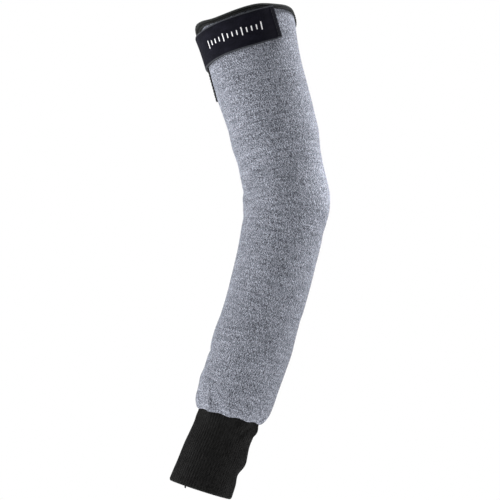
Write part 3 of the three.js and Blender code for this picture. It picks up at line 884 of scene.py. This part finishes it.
def wrist_cuff():
    """Rib knit with its ribs in the mesh, its lower edge turned over softly."""
    shell = Shell()
    columns = RIB_COUNT * COLUMNS_PER_RIB
    turn = np.arange(columns + 1) / columns * TURN
    rows = []
    for i in range(CUFF_SEAM_ROWS):
        rows.append(hem_along(turn) - SEAM_OVERLAP * (1 - i / CUFF_SEAM_ROWS))
    for i in range(CUFF_ROWS + 1):
        rows.append(mix(hem_along(turn), cuff_end_along(turn), i / CUFF_ROWS))
    alongs = np.array(rows)
    rounds = np.broadcast_to(turn, alongs.shape)
    rib = 0.5 - 0.5 * np.cos(RIB_COUNT * rounds)
    groove = RIB_GROOVE * (1 - rib ** RIB_ROUNDNESS)
    creases = fold_height(cuff_crease_rows, rounds, alongs, HEM_ALONG, CUFF_LENGTH, CUFF_WIDTH)
    creases = np.clip(creases, CUFF_CREASE_DEEPEST, CUFF_CREASE_HIGHEST)
    creases = creases * ease(alongs, HEM_ALONG + CUFF_CALM_FROM, HEM_ALONG + CUFF_CALM_TO)
    rolled = np.clip(1 - (cuff_end_along(rounds) - alongs) / ROLL_LENGTH, 0, 1)
    tuck = ROLL_DEPTH * (1 - np.sqrt(1 - rolled ** 2))
    outer = off_cuff(rounds, alongs, creases - groove - tuck)
    keep = np.unique(np.append(np.arange(0, len(rows), 2), len(rows) - 1))
    inner_groove = INNER_GROOVE * rib[keep] ** RIB_ROUNDNESS
    inner_off = creases[keep] - CUFF_WALL + inner_groove + tuck[keep] * INNER_ROLL
    inner = off_cuff(rounds[keep], alongs[keep], inner_off)
    places = in_pairs(rounds / TURN * RIB_COUNT, -alongs / RIB_COURSE_HEIGHT)
    outside = shell.grid(outer, places)
    inside = shell.grid(inner, places[keep])
    for numbers in (outside, inside):
        numbers[:, -1] = numbers[:, 0]
    shell.sheet(outside)
    shell.sheet(inside, out=False)
    shell.band(inside[0], outside[0])
    shell.band(outside[-1], inside[-1])
    piece = shell.build("cuff_rib_knit", rib_knit, "black_rib_knit")
    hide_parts("wrist_cuff")


def free_edge():
    """The whole free edge as a closed way of round and along, the rim first and then the slit."""
    across, along = slit_edge(0, *back_corner)
    front_way, front_down = slit_edge(0, *front_corner)
    plain_turns = SLIT_MIDDLE + turns[CORNER_STEPS:LAST - CORNER_STEPS]
    behind = -across / GIRTH
    before = front_way[-2:0:-1] / GIRTH
    front_down = front_down[-2:0:-1]
    rounds = np.concatenate([plain_turns, SLIT_MIDDLE + TURN + behind, SLIT_MIDDLE + TURN + before])
    alongs = np.concatenate([
        fall_of_rim(plain_turns),
        along + fall_of_rim(SLIT_MIDDLE + behind),
        front_down + fall_of_rim(SLIT_MIDDLE + before),
    ])
    return rounds, alongs


def edge_frame():
    """The free edge with the direction that runs along it."""
    rounds, alongs = free_edge()
    turned = np.roll(rounds, -1) - np.roll(rounds, 1)
    turned -= TURN * np.round(turned / TURN)
    run_x = turned * GIRTH
    run_y = np.roll(alongs, -1) - np.roll(alongs, 1)
    length = np.hypot(run_x, run_y)
    return rounds, alongs, run_x / length, run_y / length


# The tape is gathered round the front corner, which makes it wider there
CORNER_WIDE_ROUND = -78
CORNER_WIDE_SPAN = 17
CORNER_WIDENING = 1.9
CORNER_WIDE_DOWN_TO = 4
CORNER_PLAIN_FROM = 14


def edge_points(inset, off):
    """Points of the knit's face beside the free edge: inset from it and off the face."""
    rounds, alongs, run_x, run_y = edge_frame()
    away = rounds / DEGREE - CORNER_WIDE_ROUND
    away = (away - 360 * np.round(away / 360)) / CORNER_WIDE_SPAN
    near_corner = np.exp(-away * away) * (1 - ease(alongs, CORNER_WIDE_DOWN_TO, CORNER_PLAIN_FROM))
    inset = inset + max(inset, 0) * CORNER_WIDENING * near_corner
    return off_tube(rounds - run_y * inset / GIRTH, alongs + run_x * inset, off)


# The binding's section: its rounded edges, and the groove of the stitch line in it
EDGE_ROUNDING = 0.3
EDGE_INSIDE_BACK = 0.25
EDGE_INSIDE_RISE = 0.2
GROOVE_INSET = 1.0
GROOVE_END = 1.6
GROOVE_DEPTH = 0.14
FOLD_SQUARENESS = 0.8


def edge_binding():
    """Tape folded over the free edge: its section runs down the outside and up the inside."""
    out = CLEARANCE + BINDING_THICKNESS
    deep = BINDING_WIDTH - BINDING_THICKNESS
    outer_side = [
        (deep - EDGE_INSIDE_BACK, CLEARANCE),
        (deep, CLEARANCE + EDGE_INSIDE_RISE),
        (deep, out - EDGE_ROUNDING),
        (deep - EDGE_ROUNDING, out),
        (deep - GROOVE_INSET, out - GROOVE_DEPTH),
        (deep - GROOVE_END, out),
    ]
    inner_side = [(inset, -TUBE_WALL - off) for inset, off in reversed(outer_side)]
    middle = -TUBE_WALL / 2
    reach = TUBE_WALL / 2 + out
    fold = []
    for i in range(FOLD_STEPS + 1):
        angle = i / FOLD_STEPS * math.pi
        inset = -BINDING_THICKNESS * math.sin(angle) ** FOLD_SQUARENESS
        fold.append((inset, middle + reach * math.cos(angle)))
    section = [*outer_side, *fold, *inner_side, (0, -TUBE_WALL - CLEARANCE), (0, CLEARANCE)]
    points = np.stack([edge_points(inset, off) for inset, off in section], axis=1)
    groove_end = points[:, len(outer_side) - 1]
    steps = np.linalg.norm(np.diff(groove_end, axis=0, append=groove_end[:1]), axis=-1)
    way = np.cumsum(steps) - steps[0]
    girths = np.cumsum([0] + [math.dist(a, b) for a, b in zip(section, section[1:])])
    girths = girths - girths[len(section) // 2 - 1]
    places = in_pairs(way[:, None], girths)
    shell = Shell()
    numbers = shell.grid(points, places)
    numbers = np.concatenate([numbers, numbers[:1]])
    numbers = np.concatenate([numbers, numbers[:, :1]], axis=1)
    shell.sheet(numbers)
    piece = shell.build("binding_tape", binding_tape, "black_binding_tape")
    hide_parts("edge_binding")


# How far the strap's free end slants back at its top, in degrees
END_SLANT = 3.6

# How wide the tapes' edges are rounded, and how much of that the side under them has
STRAP_EDGE = 0.35
PAD_EDGE = 0.25
UNDER_EDGE = 0.4

# The folded end of the strap. Columns: degrees past its start, lift in fold thicknesses
strap_fold_rows = [
    (0.3, 0.1), (0.7, 0.25), (1.3, 0.35), (3.0, 0.4), (5.0, 0.4), (6.0, 0.3), (6.3, 0.1),
]
STRAP_END_LIFT = -0.2


def tape_over(rounds, tops, bottoms, lows, highs, across_steps, edge):
    """A flat tape over the tube's face with rounded edges."""
    width = bottoms - tops
    shares = np.linspace(0, 1, across_steps)[None, :]
    alongs = tops[:, None] + width[:, None] * shares
    near = np.minimum(alongs - tops[:, None], bottoms[:, None] - alongs)
    soften = edge * (1 - np.sqrt(np.clip(near / edge, 0, 1)))
    towards_end = ease(rounds, 0, rounds[-1])[:, None]
    turn = rounds[:, None] - END_SLANT * DEGREE * (1 - shares) * towards_end
    over = off_tube(turn, alongs, highs[:, None] - soften)
    under = off_tube(turn, alongs, lows[:, None] + soften * UNDER_EDGE)
    places = in_pairs(turn * GIRTH, shares * STRAP_WIDTH)
    shell = Shell()
    upper = shell.grid(over, places)
    lower = shell.grid(under, places)
    shell.sheet(upper, out=False)
    shell.sheet(lower)
    shell.band(lower[:, 0][::-1], upper[:, 0][::-1])
    shell.band(upper[:, -1][::-1], lower[:, -1][::-1])
    shell.band(upper[0][::-1], lower[0][::-1])
    shell.band(lower[-1][::-1], upper[-1][::-1])
    return shell


def strap_edges(degrees):
    """How far down the arm the strap's two edges lie."""
    share = (degrees - STRAP_SEWN_ROUND) / (STRAP_FREE_ROUND - STRAP_SEWN_ROUND)
    ats, tops, widths = zip(*strap_rows)
    top = STRAP_WIDTH * through_rows(ats, tops, share)
    return top, top + STRAP_WIDTH * through_rows(ats, widths, share)


def closure_strap():
    """The strap, flat where it is sewn on and lifted over the binding and its pad."""
    rise = STRAP_SEWN_ROUND + STRAP_FLAT_SPAN
    fold_round = STRAP_FREE_ROUND - STRAP_FOLD_LENGTH / GIRTH / DEGREE
    lifted = CLEARANCE + BINDING_THICKNESS + CLEARANCE
    body = np.linspace(STRAP_SEWN_ROUND, fold_round, STRAP_STEPS)
    past, lifts = zip(*strap_fold_rows)
    fold = np.append(fold_round + np.array(past), STRAP_FREE_ROUND)
    degrees = np.concatenate([body, fold])
    folded = np.concatenate([np.zeros(len(body)), lifts, [STRAP_END_LIFT]])
    inset = np.concatenate([np.zeros(len(body)), np.ones(len(fold))])
    tops, bottoms = strap_edges(degrees)
    bottoms = bottoms - STRAP_FOLD_INSET * inset
    lows = mix(CLEARANCE, lifted, ease(degrees, rise, rise + STRAP_RISE_SPAN))
    highs = lows + STRAP_THICKNESS + STRAP_FOLD_THICKNESS * folded
    shell = tape_over(degrees * DEGREE, tops, bottoms, lows, highs, STRAP_ACROSS, STRAP_EDGE)
    piece = shell.build("strap_tape", strap_tape, "black_strap_tape")
    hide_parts("closure_strap")


def loop_pad():
    """The mating pad, on the tube under the strap."""
    degrees = np.linspace(PAD_START_ROUND, PAD_END_ROUND, PAD_STEPS)
    tops, bottoms = strap_edges(degrees)
    tops = tops + PAD_INSET
    bottoms = bottoms - PAD_INSET
    lows = np.full(len(degrees), CLEARANCE)
    highs = lows + PAD_THICKNESS
    shell = tape_over(degrees * DEGREE, tops, bottoms, lows, highs, PAD_ACROSS, PAD_EDGE)
    piece = shell.build("loop_pad_pile", loop_pile, "black_loop_pile")
    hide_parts("loop_pad")


# Stitches and strands, in millimetres. No strand runs along the line that sets their sides
THREAD = 0.17
THREAD_GAP = 0.02
STITCH_STEP = 0.25
STITCH_LENGTH = 2.5
STITCH_GAP = 0.5
STRAND_SIDES = 6
STRAND_TIP = 0.35
OFF_LINE = (0.31, 0.22, 0.92)


def lengths_along(points):
    return np.concatenate([[0], np.cumsum(np.linalg.norm(np.diff(points, axis=0), axis=-1))])


def smooth_way(points):
    """Points at even steps along a line through given points."""
    lengths = lengths_along(points)
    at = np.linspace(0, lengths[-1], max(int(lengths[-1] / STITCH_STEP), 2) + 1)
    return np.stack([np.interp(at, lengths, points[:, i]) for i in range(3)], axis=-1)


def strand(shell, points, radius):
    """One round strand along a line of points, closed and narrow at its ends."""
    run = np.gradient(points, axis=0)
    run /= np.linalg.norm(run, axis=-1, keepdims=True)
    aside = np.cross(run, OFF_LINE)
    aside /= np.linalg.norm(aside, axis=-1, keepdims=True)
    above = np.cross(run, aside)
    angle = np.arange(STRAND_SIDES + 1) / STRAND_SIDES * TURN
    reach = np.full(len(points), float(radius))
    reach[[0, -1]] *= STRAND_TIP
    rings = points[:, None] + reach[:, None, None] * (
        np.cos(angle)[None, :, None] * aside[:, None] + np.sin(angle)[None, :, None] * above[:, None]
    )
    places = in_pairs(lengths_along(points)[:, None], angle * radius)
    numbers = shell.grid(rings, places)
    numbers[:, -1] = numbers[:, 0]
    shell.sheet(numbers)
    for end, order in ((numbers[0], 1), (numbers[-1], -1)):
        ring = end[:-1][::order]
        shell.band(np.array([ring[0], ring[1]]), np.array([ring[3], ring[2]]))
        shell.band(np.array([ring[3], ring[4]]), np.array([ring[0], ring[5]]))


def stitch_row(shell, points, length):
    """A row of separate stitches along a line of points."""
    way = smooth_way(points)
    whole = round(length / STITCH_STEP)
    skip = round(STITCH_GAP / STITCH_STEP)
    for start in range(0, len(way) - whole, whole + skip):
        strand(shell, way[start:start + whole + 1:2], THREAD)


def binding_stitches():
    """The seam that holds the folded tape, outside and inside."""
    out = CLEARANCE + BINDING_THICKNESS + THREAD + THREAD_GAP
    inset = BINDING_WIDTH - BINDING_THICKNESS - GROOVE_INSET
    shell = Shell()
    for off in (out, -TUBE_WALL - out):
        points = edge_points(inset, off)
        stitch_row(shell, np.concatenate([points, points[:1]]), STITCH_LENGTH)
    shell.build("binding_stitches", black_thread, "black_binding_tape")


LINE_POINTS = 40


def strap_line(start, end, share_from, share_to, off):
    """A straight line over the strap, between two angles and two shares of its width."""
    degrees = np.linspace(start, end, LINE_POINTS)
    tops, bottoms = strap_edges(degrees)
    share = np.linspace(share_from, share_to, LINE_POINTS)
    return off_tube(degrees * DEGREE, mix(tops, bottoms, share), off)


# The box of stitches at the sewn end: degrees from the ends, and shares of the strap's width
BOX_FROM_END = 1.6
BOX_FROM_RISE = 0.2
BOX_STITCH = 2.0
BOX_GAP = 0.03
BOX_TOP = 0.08
BOX_BOTTOM = 0.92
SLANT_TOP = 0.1
SLANT_MIDDLE = 0.5
SLANT_BOTTOM = 0.9

# The row across the folded end, slanted as the end is
ROW_FROM_END = 4.6
ROW_TOP = 0.05
ROW_BOTTOM = 0.93
ROW_LIFT = 0.3


def strap_stitches():
    """A box with two slanted lines in it at the sewn end, and a row across the folded end."""
    flat = CLEARANCE + STRAP_THICKNESS + THREAD + BOX_GAP
    lifted = CLEARANCE * 2 + BINDING_THICKNESS + STRAP_THICKNESS + ROW_LIFT * STRAP_FOLD_THICKNESS + THREAD
    start = STRAP_SEWN_ROUND + BOX_FROM_END
    end = STRAP_SEWN_ROUND + STRAP_FLAT_SPAN - BOX_FROM_RISE
    shell = Shell()
    for line in (
        (start, start, BOX_TOP, BOX_BOTTOM),
        (end, end, BOX_TOP, BOX_BOTTOM),
        (start, end, BOX_TOP, BOX_TOP),
        (start, end, BOX_BOTTOM, BOX_BOTTOM),
        (start, end, SLANT_TOP, SLANT_MIDDLE),
        (end, start, SLANT_MIDDLE, SLANT_BOTTOM),
    ):
        stitch_row(shell, strap_line(*line, flat), BOX_STITCH)
    row = STRAP_FREE_ROUND - ROW_FROM_END
    row_start = row - (1 - ROW_TOP) * END_SLANT
    row_end = row - (1 - ROW_BOTTOM) * END_SLANT
    row_line = strap_line(row_start, row_end, ROW_TOP, ROW_BOTTOM, lifted)
    stitch_row(shell, row_line, STITCH_LENGTH)
    shell.build("strap_stitches", black_thread, "black_strap_tape")


# The tack under the slit, in millimetres
TACK_COUNT = 6
TACK_POINTS = 9
TACK_START = 0.5
TACK_PITCH = 0.42
TACK_REACH = 2.6
TACK_GAP = 0.04


def slit_tack():
    """Close stitches across the foot of the slit, on the tape."""
    shell = Shell()
    off = CLEARANCE + BINDING_THICKNESS + THREAD + TACK_GAP
    for i in range(TACK_COUNT):
        along = SLIT_LENGTH + TACK_START + i * TACK_PITCH
        across = np.linspace(-TACK_REACH, TACK_REACH, TACK_POINTS) / GIRTH
        strand(shell, off_tube(SLIT_MIDDLE + across, along, off), THREAD)
    shell.build("slit_tack", black_thread, "black_binding_tape")


# One stitch of the overlock. Columns: round in radians, along from the cuff's top, off the tube
CUFF_INSIDE = -(TUBE_WALL + CLEARANCE + CUFF_WALL)
overlock_rows = [
    (0, -2.2, -TUBE_WALL - 0.3), (0.004, -1.0, -TUBE_WALL - 0.9), (0.012, -0.45, CUFF_INSIDE - 0.35),
    (0.02, 1.2, CUFF_INSIDE - 0.4), (0.026, 2.6, CUFF_INSIDE - 0.4),
]
OVERLOCK_COUNT = 96
OVERLOCK_THREAD = 0.2


def seam_stitches():
    """The overlock that joins the cuff's hidden upper edge to the tube, seen from inside."""
    shell = Shell()
    rounds, alongs, offs = np.array(overlock_rows).T
    for i in range(OVERLOCK_COUNT):
        turn = i / OVERLOCK_COUNT * TURN
        top = hem_along(turn) - SEAM_OVERLAP
        strand(shell, off_tube(turn + rounds, top + alongs, offs), OVERLOCK_THREAD)
    shell.build("seam_stitches", grey_thread, "grey_knit")


# The loose yarn: its place in degrees, then its curls in radians and in millimetres
YARN_ROUND = -27
YARN_RADIUS = 0.42
YARN_POINTS = 12
YARN_CURL = 0.022
YARN_CURL_TURN = 5.0
YARN_UP = 1.9
YARN_PAST_EDGE = 0.5
YARN_OFF_START = -0.7
YARN_OFF_FALL = 0.5
yarn_sizes = (1.0, 0.6)


def loose_yarn():
    """A short curl of yarn left at the cuff's lower edge."""
    shell = Shell()
    turn = YARN_ROUND * DEGREE
    share = np.linspace(0, 1, YARN_POINTS)
    for size in yarn_sizes:
        rounds = turn + YARN_CURL * size * np.sin(share * YARN_CURL_TURN)
        alongs = cuff_end_along(turn) - YARN_PAST_EDGE + YARN_UP * size * np.sin(share * math.pi)
        strand(shell, off_cuff(rounds, alongs, YARN_OFF_START - YARN_OFF_FALL * share), YARN_RADIUS)
    shell.build("loose_yarn", rib_knit, "black_rib_knit")


sleeve_tube()
wrist_cuff()
edge_binding()
closure_strap()
loop_pad()
binding_stitches()
strap_stitches()
slit_tack()
seam_stitches()
loose_yarn()


# Studio: a pale floor below the held up sleeve, soft lights and the photo's camera
FLOOR_HEIGHT = -0.62
FLOOR_RADIUS = 1.6
FLOOR_SIDES = 96


def floor():
    mesh = bpy.data.meshes.new("floor")
    ring = [
        (FLOOR_RADIUS * math.cos(angle), FLOOR_RADIUS * math.sin(angle), FLOOR_HEIGHT)
        for angle in np.arange(FLOOR_SIDES) / FLOOR_SIDES * TURN
    ]
    mesh.from_pydata(ring, [], [list(range(FLOOR_SIDES))])
    n = Nodes("floor")
    n.colour((0.85, 0.85, 0.85, 1))
    n.shader.inputs["Roughness"].default_value = 0.9
    mesh.materials.append(n.material)
    piece = placed("floor", mesh)


def aimed(name, data, place, aim):
    """Puts a lamp or camera at a place, turned to an aim."""
    holder = placed(name, data)
    holder.location = place
    holder.rotation_euler = (Vector(aim) - Vector(place)).to_track_quat("-Z", "Y").to_euler()
    return holder


def area_light(name, place, aim, size, power, spread=180):
    light = bpy.data.lights.new(name, "AREA")
    light.shape = "RECTANGLE"
    light.size, light.size_y = size
    light.energy = power
    light.spread = spread * DEGREE
    aimed(name, light, place, aim)


CAMERA_PLACE = (0.0062, -1.4926, -0.3635)
CAMERA_AIM = (0.0062, 0, -0.2145)
CAMERA_LENS = 118.7
CAMERA_SENSOR = 36
CAMERA_NEAREST = 0.05


def camera():
    lens = bpy.data.cameras.new("camera")
    lens.lens = CAMERA_LENS
    lens.sensor_width = CAMERA_SENSOR
    lens.clip_start = CAMERA_NEAREST
    bpy.context.scene.camera = aimed("camera", lens, CAMERA_PLACE, CAMERA_AIM)


floor()
area_light("left softbox", place=(-1.4, 0, -0.3), aim=(0, 0, -0.2), size=(0.5, 1.0), power=66)
area_light("right softbox", place=(0.82, 0.4, 2.08), aim=(0.05, 0, -0.17), size=(0.8, 0.8), power=410)
area_light(
    "elbow spot", place=(0.55, 0.1, -0.02), aim=(0.08, 0, -0.17), size=(0.12, 0.12), power=0.14, spread=20,
)
area_light("front fill", place=(-0.7, -1.6, 0.5), aim=(0, 0, -0.2), size=(0.9, 0.9), power=2)
camera()

world = bpy.data.worlds.new("studio")
world.use_nodes = True
background = world.node_tree.nodes["Background"]
background.inputs["Color"].default_value = (1, 1, 1, 1)
background.inputs["Strength"].default_value = 1.0
bpy.context.scene.world = world
bpy.context.scene.view_settings.view_transform = "Standard"
